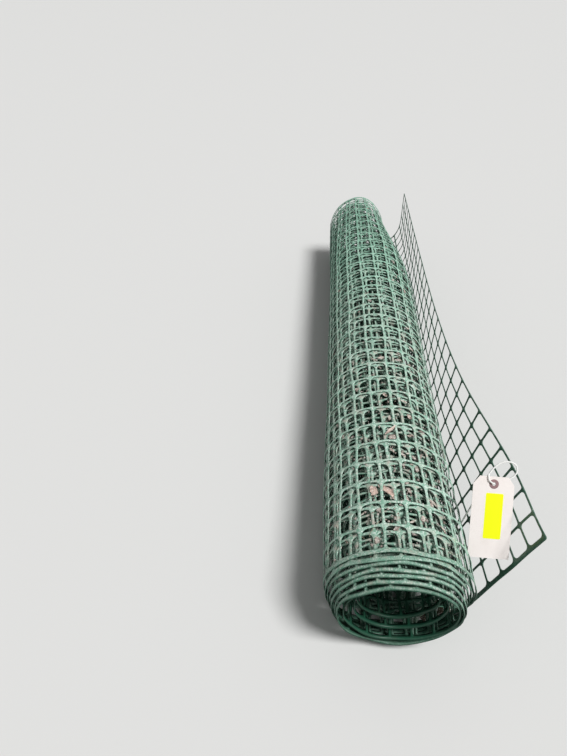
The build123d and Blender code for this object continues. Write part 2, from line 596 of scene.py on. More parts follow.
@dataclass
class NetSheet:
    """The fencing sheet: the net's own sizes and the way it is wound. Sizes in millimetres."""

    # The net; the last two are shares that narrow its strands and fillets on the free turn
    width: float = 1219.0
    rows: int = 30
    cell_round: float = 34.9
    strand: float = 4.7
    selvedge: float = 7.8
    thick: float = 2.1
    far_fillet: float = 8.5
    near_fillet: float = 4.0
    free_strand: float = 0.92
    free_fillet: float = 0.70

    # Its winding: radii, and turns in from the lowest line
    outer_radius: float = 105.0
    first_pitch: float = 2.6
    tight_turns: float = 6.5
    tight_radius: float = 84.5
    curl_turns: float = 2.0
    inner_radius: float = 57.9
    whole_turns: float = 9.4
    table_steps: int = 4000

    # Where its near selvedge lies along the roll
    outer_start: float = -578.0
    end_step: float = 7.0
    curl_step: float = 12.0
    free_start: float = -546.5
    free_hold: Fade = Fade(-130.0, 230.0, 1.0, 0.0)

    # The free turn, which flares towards its near end
    near: FreeTurnSection = FreeTurnSection(flat=95.0, bend=42.0, turn=72.0, length=327.0)
    far: FreeTurnSection = FreeTurnSection(flat=0.0, bend=114.0, turn=91.0, length=263.0)
    flare_rows: float = 6.9
    flare_power: float = 2.8
    corner_share: float = 0.07
    corner_rows: float = 0.8
    mean_free: float = 292.5
    free_columns: Fade = Fade(3.0, 10.0, 1.0, 0.0)

    # How far the strands drift round the roll, and how it narrows and leans at its far end
    drift: float = 14.0
    inner_drift: float = 10.0
    drift_length: float = 640.0
    drift_from: float = 0.5
    drift_turns: float = 4.0
    drift_rows: Fade = Fade(1.0, 14.0)
    far_rows: Fade = Fade(20.5, 30.0)
    far_lean: float = 26.0
    far_narrow: float = 0.22
    lean_run: Fade = Fade(0.0, 150.0, 1.0, 0.0)
    flattening: float = 0.95
    far_flattening: float = 0.02

    # Strands pulled out of line, over columns and rows
    round_pulls: tuple[Wave, ...] = (
        Wave(0.9, 0.71, 0.43, 1.0),
        Wave(0.7, 2.3, -0.83, 2.0),
        Wave(0.5, 3.4, 1.9),
    )
    along_pulls: tuple[Wave, ...] = (
        Wave(1.1, 0.52, 0.31),
        Wave(0.9, 1.9, -0.47, 0.3),
        Wave(0.5, 3.1, 1.3, 4.0),
    )
    free_pull: float = 0.35
    pulled_columns: Fade = Fade(3.0, 10.0)
    pulled_rows: Fade = Fade(0.0, 3.0, 0.65, 1.25)
    inner_columns: Fade = Fade(38.0, 62.0)
    end_rows: Fade = Fade(0.1, 1.0)
    inner_round_pull: float = 1.2
    inner_along_pull: float = 3.4

    # Slack: long waves that all turns share, small ones of each turn and of its rim, and one sprung place
    shared_waves: tuple[Wave, ...] = (
        Wave(1.1, 2.0, 4.0, 0.6),
        Wave(0.8, 3.0, -9.0),
        Wave(0.6, 5.0, 17.0, 2.0),
    )
    own_wave: Wave = Wave(0.28, 7.0, 21.0)
    rim_waves: tuple[Wave, ...] = (Wave(0.9, 2.37, 0.0, 1.0), Wave(0.6, 5.3, 0.0))
    rim_rows: float = 0.8
    slack_turns: Fade = Fade(0.02, 0.2)
    sprung: float = 7.0
    sprung_turns: float = 0.73
    sprung_width: float = 0.12
    sprung_rows: float = 4.5
    slope_step: float = 0.04

    def __post_init__(self) -> None:
        """Tabulate how long the wound sheet is at each turn."""
        self.cell_along = self.width / self.rows
        turns = np.linspace(0.0, self.whole_turns + 0.5, self.table_steps)
        step = turns[1] - turns[0]
        lengths = np.cumsum(self.radius(turns[1:] - step / 2)) * FULL_TURN * step
        self.turn_table = turns
        self.length_table = np.concatenate(([0.0], lengths))

    def radius(self, turns: np.ndarray) -> np.ndarray:
        """Radius of the sheet's middle.

        Args:
            turns: Turns in from the lowest line.

        Returns:
            Radii in millimetres.
        """
        curl_end = self.tight_turns + self.curl_turns
        knots = (0.0, 1.0, self.tight_turns, curl_end, self.whole_turns + 1)
        second = self.outer_radius - self.first_pitch
        radii = (self.outer_radius, second, self.tight_radius, self.inner_radius, self.inner_radius)
        return np.interp(turns, knots, radii)

    def turns_at(self, wound: np.ndarray) -> np.ndarray:
        """Turns in from the lowest line after a length of sheet, none on the free turn."""
        return np.interp(np.maximum(wound, 0.0), self.length_table, self.turn_table)

    def length_at(self, turns: float) -> float:
        """Length of sheet from the lowest line to a number of turns in."""
        return float(np.interp(turns, self.turn_table, self.length_table))

    def column_at(self, turns: float) -> int:
        """Nearest column to a number of turns in from the lowest line, at the middle of the width."""
        return int(round((self.length_at(turns) + self.mean_free + self.drift / 2) / self.cell_round))

    def blended(self, row: np.ndarray, name: str) -> np.ndarray:
        """One size of the free turn's section.

        Args:
            row: Rows from the near selvedge.
            name: The size's name.

        Returns:
            The size at each row.
        """
        row = np.maximum(row, 0.0)
        even = 1.0 / (1.0 + (row / self.flare_rows) ** self.flare_power)
        share = (1.0 - self.corner_share) * even + self.corner_share * np.exp(-row / self.corner_rows)
        return share * getattr(self.near, name) + (1.0 - share) * getattr(self.far, name)

    def wound(self, column: np.ndarray, row: np.ndarray) -> np.ndarray:
        """Length of sheet from the lowest line to a place in the net, negative on the free turn.

        Args:
            column: Columns in from the cut edge.
            row: Rows from the near selvedge.

        Returns:
            Lengths in millimetres.
        """
        own = self.free_columns.at(column)
        free = self.mean_free + (self.blended(row, "length") - self.mean_free) * own
        turn = (self.cell_round * column - self.mean_free) / self.drift_length - self.drift_from
        inner = self.inner_drift * np.clip(turn, 0.0, self.drift_turns) * self.drift_rows.at(row)
        skew = self.drift * row / self.rows + inner - self.far_lean * self.far_rows.at(row)
        return self.cell_round * column - free - skew * (1.0 - own)

    def uneven(self, column: np.ndarray, row: np.ndarray) -> ArrayPair:
        """Where a place of the net really is in the sheet, with strands pulled a little out of line.

        Args:
            column: Columns in from the cut edge.
            row: Rows from the near selvedge.

        Returns:
            The column and the row.
        """
        held = self.free_pull + self.pulled_columns.at(column) * self.pulled_rows.at(row)
        inside = self.inner_columns.at(column) * self.end_rows.at(row) * self.end_rows.at(self.rows - row)
        round_pull = summed(self.round_pulls, column, row) * (held + self.inner_round_pull * inside)
        along_pull = summed(self.along_pulls, column, row) * (held + self.inner_along_pull * inside)
        return column + round_pull / self.cell_round, row + along_pull / self.cell_along

    def start(self, wound: np.ndarray, turns: np.ndarray) -> np.ndarray:
        """Where the near selvedge lies along the roll.

        Args:
            wound: Lengths of sheet from the lowest line.
            turns: Turns in from the lowest line.

        Returns:
            Places in millimetres.
        """
        tight = self.outer_start - self.end_step * np.minimum(turns, self.tight_turns)
        rolled = tight + self.curl_step * np.maximum(turns - self.tight_turns, 0.0)
        return rolled + (self.free_start - rolled) * self.free_hold.at(wound)

    def slack(self, angle: np.ndarray, turns: np.ndarray, row: np.ndarray) -> np.ndarray:
        """How far the sheet stands off its even radius.

        Args:
            angle: Angles round the roll.
            turns: Turns in from the lowest line.
            row: Rows from the near selvedge.

        Returns:
            Heights in millimetres.
        """
        share, turned = row / self.rows, turns * FULL_TURN
        rim = np.exp(-np.maximum(row, 0.0) / self.rim_rows)
        waves = summed(self.shared_waves, angle, share) + self.own_wave.at(turned, share)
        waves = waves + rim * summed(self.rim_waves, turned, share)
        from_sprung = (turns - self.sprung_turns) / self.sprung_width
        sprung = np.exp(-(from_sprung**2) - (row / self.sprung_rows) ** 2)
        return waves * self.slack_turns.at(turns) + self.sprung * sprung

    def place(self, column: np.ndarray, row: np.ndarray) -> np.ndarray:
        """Place of the sheet's middle surface.

        Args:
            column: Columns in from the cut edge.
            row: Rows from the near selvedge.

        Returns:
            Points in millimetres.
        """
        column, row = self.uneven(column, row)
        wound = self.wound(column, row)
        turns = self.turns_at(wound)
        along = self.start(wound, turns) + row * self.cell_along
        angle = -math.pi / 2 - FULL_TURN * turns
        radius = self.radius(turns) + self.slack(angle, turns, row)
        far = self.far_rows.at(row)
        base = -self.outer_radius
        flattened = self.flattening - self.far_flattening * far
        roll_x = radius * np.cos(angle) * (1.0 - self.far_narrow * far) - self.far_lean * far
        roll_z = base + (radius * np.sin(angle) - base) * flattened
        run = np.maximum(-wound, 0.0)
        flat, bend, turn = (self.blended(row, name) for name in ("flat", "bend", "turn"))
        turn = np.radians(turn)
        bent = np.clip((run - flat) / bend, 0.0, turn)
        straight = np.maximum(run - flat - bend * turn, 0.0)
        free_x = np.minimum(run, flat) + bend * np.sin(bent) + straight * np.cos(bent)
        free_x = free_x - self.far_lean * far * self.lean_run.at(run)
        free_z = base + bend * (1.0 - np.cos(bent)) + straight * np.sin(bent)
        free = wound < 0.0
        return np.stack((np.where(free, free_x, roll_x), along, np.where(free, free_z, roll_z)), axis=-1)

    def surface(self, column: np.ndarray, row: np.ndarray, lift: np.ndarray) -> np.ndarray:
        """Point at a height off the sheet's middle surface, outwards positive.

        Args:
            column: Columns in from the cut edge.
            row: Rows from the near selvedge.
            lift: Heights in millimetres.

        Returns:
            Points in metres.
        """
        step = self.slope_step
        across = self.place(column + step, row) - self.place(column - step, row)
        along = self.place(column, row + step) - self.place(column, row - step)
        normal = np.cross(across, along)
        normal /= np.linalg.norm(normal, axis=-1, keepdims=True)
        return (self.place(column, row) + normal * lift[..., None]) * MM


@dataclass(frozen=True)
class Exposure:
    """How much sun and dust each place of the net has had, and where painted shade and painted edge highlights
    fall, by its turn, row and side.
    """

    # Sun and painted shade: darker on the free turn; inner turns, inner faces and loose curl partly less
    # sunned, partly painted shade; painted shade at the near rims and far end
    free_turn_fade: Fade = Fade(-60.0, 120.0, 0.2, 1.0)
    free_turn_fade_reach: Fade = Fade(6.0, 12.0, 0.0, 100.0)
    shaded_per_turn: float = 0.12
    shaded_turns: float = 2.5
    past_rim: Fade = Fade(0.12, 0.5)
    curl_sun_and_shade: Fade = Fade(5.9, 7.2, 1.0, 0.08)
    near_rim_shade: Fade = Fade(0.05, 1.3, 0.55, 1.0)
    far_shade: Fade = Fade(8.0, 24.0, 1.0, 0.88)
    end_shade: Fade = Fade(18.0, 28.0, 0.0, 0.16)
    inner_face_sun_and_shade: float = 0.15
    outer_face: Fade = Fade(-0.5, 0.1)
    rim_edge_shade: Fade = Fade(0.1, 0.4, 0.6, 0.0)
    edge_height: float = 0.8

    # Dust: most between the turns, least at the far end
    least_dust: float = 0.5
    under_outer_turn: Fade = Fade(0.9, 1.2)
    over_curl: Fade = Fade(5.0, 6.5, 1.0, 0.0)
    past_near_rim: Fade = Fade(0.2, 0.9)
    far_gaps: Fade = Fade(7.0, 20.0, 1.0, 0.4)
    far_dust: Fade = Fade(10.0, 24.0, 1.0, 0.3)

    def shares(self, sheet: NetSheet, flat: np.ndarray) -> dict[str, np.ndarray]:
        """Work out the values that the plastic's finish reads.

        Args:
            sheet: The net's sheet.
            flat: Column, row and height off the sheet's middle of each point.

        Returns:
            The points' values by name.
        """
        column, row, lift = flat[:, 0], flat[:, 1], flat[:, 2]
        wound = sheet.wound(column, row)
        turns = sheet.turns_at(wound)
        outer_face = self.outer_face.at(lift)
        edge = 1.0 - np.clip(lift / (self.edge_height * sheet.thick / 2), 0.0, 1.0)
        # Darker on the free turn, less so towards the far end
        weather_and_light = self.free_turn_fade.at(wound + self.free_turn_fade_reach.at(row))
        # Inner turns, inner faces and the loose curl darker: partly less sun chalking, partly painted shade
        shaded = self.shaded_per_turn * np.minimum(turns, self.shaded_turns)
        weather_and_light *= 1.0 - shaded * self.past_rim.at(row)
        weather_and_light *= self.curl_sun_and_shade.at(turns) * self.near_rim_shade.at(row)
        # Painted shade towards the far end
        weather_and_light *= self.far_shade.at(row) - self.end_shade.at(row)
        facing_out = self.inner_face_sun_and_shade + (1.0 - self.inner_face_sun_and_shade) * outer_face
        weather_and_light *= np.where(wound < 0.0, 1.0, facing_out)
        # Painted shade at the near rims: their rows darker, and darker still on the strand edges, in the gaps
        # between the rims
        weather_and_light *= 1.0 - edge * self.rim_edge_shade.at(row) * (wound > 0.0)
        between = self.under_outer_turn.at(turns) * self.over_curl.at(turns) * self.past_near_rim.at(row)
        between *= outer_face * self.far_gaps.at(row)
        dust = (self.least_dust + (1.0 - self.least_dust) * between) * self.far_dust.at(row)
        return {"weather_and_light": weather_and_light, "edge": edge, "dust": dust}


@dataclass
class NetTile:
    """One node of the net with half of each strand that meets there, drawn flat, in millimetres."""

    sheet: NetSheet
    detail: Detail
    crown_reach: float = 8.5
    plain_height: float = 0.80
    node_swell: float = 0.38
    swell_reach: float = 6.5
    long_thinning: float = 0.14
    thinning_from: float = 4.0
    thinning_run: float = 5.0

    def quarter(self, half_long: float, half_round: float, fillet: float) -> ArrayPair:
        """Crown line and outline of a quarter of the tile.

        Args:
            half_long: Half the width of the lengthwise strand.
            half_round: Half the width of the hoop strand.
            fillet: Radius where the two meet.

        Returns:
            Points on the strands' middle lines, and the points of the outline that go with them.
        """
        end_right, end_up = self.sheet.cell_round / 2, self.sheet.cell_along / 2
        steps = 2 if self.detail is Detail.PLAIN else 4
        angles = np.linspace(0.0, math.pi / 2, steps + 1)
        arc = [
            (half_long + fillet * (1 - math.cos(a)), half_round + fillet * (1 - math.sin(a))) for a in angles
        ]
        toward = [(0.0, self.crown_reach * (1 - a / (math.pi / 4))) for a in angles[: steps // 2]]
        away = [(up, right) for right, up in reversed(toward)]
        crown = [(0.0, end_up), *toward, (0.0, 0.0), *away, (end_right, 0.0)]
        outline = [(half_long, end_up), *arc, (end_right, half_round)]
        return np.array(crown), np.array(outline)

    def strip(self, crown: np.ndarray, half_width: float, along_round: bool) -> ArrayPair:
        """Crown and outline of a strand's plain outer half at the sheet's edge.

        Args:
            crown: Crown line of a whole quarter.
            half_width: Half the strand's width.
            along_round: Whether the strand runs round the roll.

        Returns:
            Points of the crown line and of the outline.
        """
        middle = len(crown) // 2
        line = crown[middle:] if along_round else crown[: middle + 1]
        off = (0.0, half_width) if along_round else (half_width, 0.0)
        return line, line + np.array(off)

    def corner(self, half_long: float, half_round: float) -> ArrayPair:
        """Crown and outline of the sheet's rounded corner."""
        angles = np.radians((90.0, 45.0, 0.0))
        return np.zeros((3, 2)), np.stack((half_long * np.cos(angles), half_round * np.sin(angles)), axis=1)

    def quads(self, pair: ArrayPair, across: Side, along: Side) -> np.ndarray:
        """Faces of a quarter tile round a node.

        Args:
            pair: The quarter's crown line and outline.
            across: Its side of the node round the roll.
            along: Its side of the node along the roll.

        Returns:
            Four corners for each face, as column, row and height.
        """
        crown, outline = pair
        steps, heights = (np.array(values) for values in self.detail.value)
        flat = crown[:, None, :] + (outline - crown)[:, None, :] * steps[None, :, None]
        from_node = np.linalg.norm(flat, axis=-1)
        swell = self.plain_height + self.node_swell * np.exp(-((from_node / self.swell_reach) ** 2))
        off_hoop = np.clip((np.abs(flat[..., 1]) - self.thinning_from) / self.thinning_run, 0.0, 1.0)
        lift = heights[None, :] * swell * (1.0 - self.long_thinning * off_hoop) * self.sheet.thick / 2
        columns = flat[..., 0] * across.value / self.sheet.cell_round
        rows = flat[..., 1] * along.value / self.sheet.cell_along
        local = np.stack((columns, rows, lift), axis=-1)
        quads = np.stack((local[:-1, :-1], local[1:, :-1], local[1:, 1:], local[:-1, 1:]), axis=2)
        return quads[:, :, ::-1] if across is not along else quads


@dataclass
class NetPiece:
    """A stretch of the net, from one column to another, as one mesh."""

    sheet: NetSheet
    name: str
    first: int
    last: int
    detail: Detail
    cut_first: bool = False
    cut_last: bool = False

    # Steps to a column, a row and a millimetre of height, within which points are welded
    weld_steps: Point = (1e4, 1e4, 1e3)

    def build(self) -> bpy.types.Object:
        """Tile the stretch, weld it, wind it and store its exposure.

        Returns:
            The piece.
        """
        self.tile = NetTile(self.sheet, self.detail)
        self.corners: list[np.ndarray] = []
        for row in (0, 1, self.sheet.rows):
            for column in (self.first, self.first + 1, self.last):
                self._lay(row, column)
        stacked = np.concatenate(self.corners).reshape(-1, 3)
        keys = np.round(stacked * np.array(self.weld_steps)).astype(np.int64)
        _, index, inverse = np.unique(keys, axis=0, return_index=True, return_inverse=True)
        flat = stacked[index]
        points = self.sheet.surface(flat[:, 0], flat[:, 1], flat[:, 2])
        welded = (list(dict.fromkeys(corners)) for corners in inverse.reshape(-1, 4).tolist())
        piece = mesh_object(self.name, points, [face for face in welded if len(face) > 2])
        for name, values in Exposure().shares(self.sheet, flat).items():
            store(piece, name, values)
        return piece

    def _lay(self, row: int, column: int) -> None:
        """Lay the tiles that one sort of row and one sort of column share.

        Args:
            row: The near selvedge, the far one, or row 1 for all between them.
            column: The first column, the last one, or another for all between them.
        """
        sheet = self.sheet
        rows = np.arange(1, sheet.rows) if row == 1 else np.array((row,))
        at_end = column in (self.first, self.last)
        columns = np.array((column,)) if at_end else np.arange(self.first + 1, self.last)
        free = self.detail is Detail.BOTH_FACES
        strand_share, fillet_share = (sheet.free_strand, sheet.free_fillet) if free else (1.0, 1.0)
        half_round = (sheet.strand if row == 1 else sheet.selvedge) / 2
        half_long = sheet.strand * strand_share / 2
        for along in Side:
            wide = along is Side.BEFORE or (row == 0 and free)
            fillet = fillet_share * (sheet.far_fillet if wide else sheet.near_fillet)
            crown, outline = self.tile.quarter(half_long, half_round, fillet)
            off_width = (row, along) in ((0, Side.BEFORE), (sheet.rows, Side.AFTER))
            for across in Side:
                off_start = self.cut_first and (column, across) == (self.first, Side.BEFORE)
                off_end = self.cut_last and (column, across) == (self.last, Side.AFTER)
                if off_width and (off_start or off_end):
                    pair = self.tile.corner(half_long, half_round)
                elif off_width:
                    pair = self.tile.strip(crown, half_round, True)
                elif off_start or off_end:
                    pair = self.tile.strip(crown, half_long, False)
                else:
                    pair = (crown, outline)
                self._repeat(self.tile.quads(pair, across, along), columns, rows)

    def _repeat(self, quads: np.ndarray, columns: np.ndarray, rows: np.ndarray) -> None:
        """Copy a quarter tile to every node that has it.

        Args:
            quads: The quarter's faces.
            columns: Columns of the nodes.
            rows: Rows of the nodes.
        """
        nodes = np.stack(np.meshgrid(columns, rows, indexing="ij"), axis=-1).reshape(-1, 1, 1, 1, 2)
        placed = np.repeat(quads[None], len(nodes), axis=0)
        placed[..., :2] += nodes
        self.corners.append(placed.reshape(-1, 4, 3))


@dataclass
class FencingRoll:
    """The wound sheet: free turn, outer turns, tight inner turns and loose curl."""

    sheet: NetSheet
    finish: WeatheredPlastic = WeatheredPlastic()
    free_reach: float = 0.03
    stretches: tuple[tuple[str, float, Detail], ...] = (
        ("fence_outer_turn", 1.0, Detail.OUTER_FACE),
        ("fence_second_turn", 2.0, Detail.OUTER_FACE),
        ("fence_middle_turns", 4.0, Detail.PLAIN),
        ("fence_inner_turns", 6.5, Detail.PLAIN),
    )

    def build(self, effects: Effects) -> list[bpy.types.Object]:
        """Build the sheet's pieces and dress them.

        Args:
            effects: Shared node groups.

        Returns:
            The pieces.
        """
        sheet = self.sheet
        last = sheet.column_at(self.free_reach)
        nets = [NetPiece(sheet, "fence_free_turn", 0, last, Detail.BOTH_FACES, cut_first=True)]
        for name, turns, detail in self.stretches:
            first, last = last + 1, sheet.column_at(turns)
            nets.append(NetPiece(sheet, name, first, last, detail))
        end = sheet.column_at(sheet.whole_turns)
        nets.append(NetPiece(sheet, "fence_loose_curl", last + 1, end, Detail.PLAIN, cut_last=True))
        material = self.finish.material(effects)
        pieces = [net.build() for net in nets]
        for piece in pieces:
            dress(piece, material)
            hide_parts("fencing_roll")
            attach(piece, "root")
        return pieces


# The tag


class FlatShape:
    """Faces drawn flat, in millimetres, that are then given a thickness and a place."""

    def __init__(self) -> None:
        """Start with nothing drawn."""
        self.numbers: dict[Flat, int] = {}
        self.faces: list[list[int]] = []

    def face(self, corners: list[Flat]) -> None:
        """Draw a face, counter-clockwise."""
        keys = [(round(right, 4), round(up, 4)) for right, up in corners]
        self.faces.append([self.numbers.setdefault(key, len(self.numbers)) for key in keys])

    def thicken(
        self, name: str, thick: float, place: Callable[[float, float, float], Vector]
    ) -> bpy.types.Object:
        """Make a closed piece from the drawing.

        Args:
            name: The piece's name.
            thick: Its thickness.
            place: Gives the point in metres for a drawn point and a height from 0 to the thickness.

        Returns:
            The piece.
        """
        count = len(self.numbers)
        points = [place(right, up, off) for off in (0.0, thick) for right, up in self.numbers]
        faces = [[corner + count for corner in face] for face in self.faces]
        faces += [list(reversed(face)) for face in self.faces]
        edges = {(a, b) for face in self.faces for a, b in zip(face, face[1:] + face[:1])}
        faces += [[a, b, b + count, a + count] for a, b in sorted(edges) if (b, a) not in edges]
        return mesh_object(name, np.array(points), faces, False)


def grid_cells(rights: list[float], ups: list[float]) -> list[list[Flat]]:
    """Rectangles between the lines of a grid.

    Args:
        rights: Places of its upright lines.
        ups: Places of its level lines.

    Returns:
        Corners of each rectangle, counter-clockwise.
    """
    return [
        [(right, up), (next_right, up), (next_right, next_up), (right, next_up)]
        for up, next_up in zip(ups, ups[1:])
        for right, next_right in zip(rights, rights[1:])
    ]


@dataclass
class TagPlane:
    """The card's own plane: right, up and off its face. Sizes in millimetres and degrees."""

    centre: Point = (135.5, -498.1, 65.4)
    lean: float = 50.9
    yaw: float = 2.6
    roll: float = 3.3

    def __post_init__(self) -> None:
        """Work out the plane's directions."""
        lean, yaw, roll = (math.radians(angle) for angle in (self.lean, self.yaw, self.roll))
        leant = math.sin(lean)
        self.normal = Vector((math.sin(yaw) * leant, -math.cos(yaw) * leant, math.cos(lean)))
        level = Vector((math.cos(yaw), math.sin(yaw), 0.0))
        self.right = level * math.cos(roll) - self.normal.cross(level) * math.sin(roll)
        self.up = self.normal.cross(self.right)

    def point(self, right: float, up: float, off: float = 0.0) -> Vector:
        """Point in metres from a place on the card."""
        place = Vector(self.centre) + self.right * right + self.up * up + self.normal * off
        return place * MM


@dataclass
class CardTag:
    """Card tag with clipped corners, a patched hole and a bare sticker. Sizes in millimetres."""

    plane: TagPlane

    # The card, how it is bowed, and the lines of its faces, left out in a window round the hole
    width: float = 60.0
    length: float = 120.0
    thick: float = 0.5
    clip_down: float = 12.0
    clip_across: float = 9.0
    bow: float = 1.2
    bow_across: float = 0.55
    bow_along: float = 0.45
    bow_twist: float = 0.25
    window: float = 6.0
    edge_line: float = 25.0
    plain_top: float = 36.0
    plain_lines: int = 17

    # Within these a point counts as on the clip's line, and a side as not crossing it
    on_clip: float = 1e-6
    no_crossing: float = 1e-9

    # The patches; their lip and rim are steps in millimetres with shares of their thickness
    patch_radius: float = 7.0
    patch_hole: float = 2.6
    patch_thick: float = 0.35
    patch_inset: float = 11.0
    patch_sides: int = 40
    patch_lip: tuple[Flat, ...] = ((0.0, 0.0), (0.0, 0.85), (0.5, 1.0))
    patch_rim: tuple[Flat, ...] = ((0.9, 1.0), (0.15, 0.6), (0.0, 0.0))

    # The sticker; within the last of these sizes a point counts as on its edge
    sticker_width: float = 25.4
    sticker_length: float = 66.7
    sticker_drop: float = 24.5
    sticker_shift: float = 2.3
    sticker_thick: float = 0.15
    sticker_corner: float = 1.2
    sticker_step: float = 6.0
    sticker_edge: float = 0.01

    # Their finishes
    stock: PlainFinish = PlainFinish(
        name="tag_card_stock",
        colour=(0.88, 0.82, 0.79),
        dirt=(0.62, 0.53, 0.46),
        dirt_scale=22.0,
        dirt_amount=0.16,
        grain=Grain(2600.0, 0.3, 0.5, 0.00008),
        roughness=0.8,
    )
    fibre: PlainFinish = PlainFinish(
        name="patch_fibre",
        colour=(0.30, 0.185, 0.19),
        dirt=(0.16, 0.10, 0.10),
        dirt_scale=320.0,
        dirt_amount=0.45,
        grain=Grain(3200.0, 0.3, 0.5, 0.0001),
        roughness=0.8,
    )
    paper: PlainFinish = PlainFinish(
        name="sticker_paper",
        colour=(0.92, 1.0, 0.0),
        dirt=(0.74, 0.80, 0.0),
        dirt_scale=30.0,
        dirt_amount=0.08,
        grain=Grain(2600.0, 0.3, 0.5, 0.00004),
        roughness=0.6,
    )

    def __post_init__(self) -> None:
        """Work out where the hole is."""
        self.hole_up = self.length / 2 - self.patch_inset

    def bowed(self, right: float, up: float, off: float = 0.0) -> Vector:
        """Point on or off the card, which curls back a little towards its edges and most at two corners.

        Args:
            right: Millimetres right of the card's middle.
            up: Millimetres up from the card's middle.
            off: Millimetres off its face.

        Returns:
            The point in metres.
        """
        across, along = 2 * right / self.width, 2 * up / self.length
        share = self.bow_across * across**2 + self.bow_along * along**2 + self.bow_twist * across * along
        return self.plane.point(right, up, off - self.bow * share)

    def build(self, effects: Effects) -> list[bpy.types.Object]:
        """Build the card, its patches and its sticker.

        Args:
            effects: Shared node groups.

        Returns:
            The pieces.
        """
        made = (
            (self._card(), self.stock, "card", "tag_card"),
            (self._patches(), self.fibre, "patch", "tag_patch"),
            (self._sticker(), self.paper, "sticker", "tag_sticker"),
        )
        for piece, finish, slot, node in made:
            dress(piece, finish.material(effects))
            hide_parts(node)
            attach(piece, "root")
        return [piece for piece, *_ in made]

    def _card(self) -> bpy.types.Object:
        """Build the card as one closed skin: both faces, its cut edges and the hole's wall.

        Returns:
            The card.
        """
        half_w, half_l, window = self.width / 2, self.length / 2, self.window
        to_edge = (window / 2, window, 2 * window, half_w - self.clip_across, self.edge_line, half_w)
        rights = [-right for right in reversed(to_edge)] + [0.0, *to_edge]
        round_hole = {self.hole_up + share * window for share in (-1.0, -0.5, 0.0, 0.5, 1.0)}
        plain = np.linspace(-half_l, self.plain_top, self.plain_lines).tolist()
        ups = sorted({*plain, *round_hole, half_l})
        shape = FlatShape()
        for corners in grid_cells(rights, ups):
            middle = [(low + high) / 2 for low, high in zip(corners[0], corners[2])]
            in_window = abs(middle[0]) < window and abs(middle[1] - self.hole_up) < window
            kept = self._clipped(corners)
            if len(kept) > 2 and not in_window:
                shape.face(kept)
        steps = (-window, -window / 2, 0.0, window / 2)
        square = [(right, -window) for right in steps] + [(window, up) for up in steps]
        square += [(-right, -up) for right, up in square]
        for here, after in zip(square, square[1:] + square[:1]):
            outer = [(right, up + self.hole_up) for right, up in (here, after)]
            shape.face([*outer, self._hole_point(*after), self._hole_point(*here)])
        return shape.thicken(
            "tag_card_bowed",
            self.thick,
            lambda right, up, off: self.bowed(right, up, off - self.thick),
        )

    def _hole_point(self, right: float, up: float) -> Flat:
        """Point on the hole's edge in the direction of a point round it."""
        reach = math.hypot(right, up)
        return right / reach * self.patch_hole, up / reach * self.patch_hole + self.hole_up

    def _clipped(self, corners: list[Flat]) -> list[Flat]:
        """Cut a small rectangle of the card along the clipped corner, where it crosses it.

        Args:
            corners: The rectangle's corners.

        Returns:
            Corners of what is left.
        """
        kept: list[Flat] = []
        for here, after in zip(corners, corners[1:] + corners[:1]):
            over_here, over_after = self._past_clip(*here), self._past_clip(*after)
            if over_here <= self.on_clip:
                kept.append(here)
            if over_here * over_after < -self.no_crossing:
                share = over_here / (over_here - over_after)
                kept.append((here[0] + (after[0] - here[0]) * share, here[1] + (after[1] - here[1]) * share))
        return kept

    def _past_clip(self, right: float, up: float) -> float:
        """How far a point lies past the nearer clipped corner, measured across the card."""
        past_shoulder = up - self.length / 2 + self.clip_down
        return abs(right) - self.width / 2 + past_shoulder * self.clip_across / self.clip_down

    def _sticker(self) -> bpy.types.Object:
        """Build the sticker, with cut corners, lying on the card.

        Returns:
            The sticker.
        """
        half_w, half_l = self.sticker_width / 2, self.sticker_length / 2
        middle_up = self.length / 2 - self.sticker_drop - half_l
        inner_w, inner_l = half_w - self.sticker_edge, half_l - self.sticker_edge
        shape = FlatShape()
        for corners in grid_cells(self._sticker_lines(half_w, 1), self._sticker_lines(half_l, 4)):
            shape.face([place for place in corners if abs(place[0]) < inner_w or abs(place[1]) < inner_l])
        return shape.thicken(
            "tag_sticker_bare",
            self.sticker_thick,
            lambda right, up, off: self.bowed(right + self.sticker_shift, up + middle_up, off),
        )

    def _sticker_lines(self, half: float, steps: int) -> list[float]:
        """Lines of the sticker's grid in one direction.

        Args:
            half: Half its size in that direction.
            steps: Even steps from its middle out to the last line before the corners.

        Returns:
            Places of the lines.
        """
        inner = [self.sticker_step * number for number in range(-steps, steps + 1)]
        return [-half, -half + self.sticker_corner, *inner, half - self.sticker_corner, half]

    def _patches(self) -> bpy.types.Object:
        """Build the fibre rings on both faces of the card, with pressed edges.

        Returns:
            Both rings as one piece.
        """
        rise, sides = self.patch_thick, self.patch_sides
        outline = [(self.patch_hole + out, rise * share) for out, share in self.patch_lip]
        outline += [(self.patch_radius - back, rise * share) for back, share in self.patch_rim]
        points, faces, count = [], [], len(outline)
        for face, base in ((1, 0.0), (-1, -self.thick)):
            first = len(points)
            for side in range(sides):
                angle = side * FULL_TURN / sides
                for radius, height in outline:
                    right, up = radius * math.cos(angle), radius * math.sin(angle) + self.hole_up
                    points.append(self.bowed(right, up, base + face * height))
                here, after = first + side * count, first + (side + 1) % sides * count
                for step in range(count):
                    up_one = (step + 1) % count
                    faces.append([here + step, here + up_one, after + up_one, after + step][::face])
        return mesh_object("tag_patch_rings", np.array(points), faces)


# The string


def frames_along(line: np.ndarray, askew: Point = (0.3, 0.1, 1.0)) -> ArrayPair:
    """Two directions square to a line at each of its points, without twist.

    Args:
        line: Points along the line.
        askew: A direction that the line doesn't start in.

    Returns:
        First and second side directions.
    """
    along = np.gradient(line, axis=0)
    along /= np.linalg.norm(along, axis=1, keepdims=True)
    side = np.cross(along[0], askew)
    firsts = []
    for direction in along:
        side = side - direction * np.dot(side, direction)
        side /= np.linalg.norm(side)
        firsts.append(side)
    first = np.array(firsts)
    return first, np.cross(along, first)


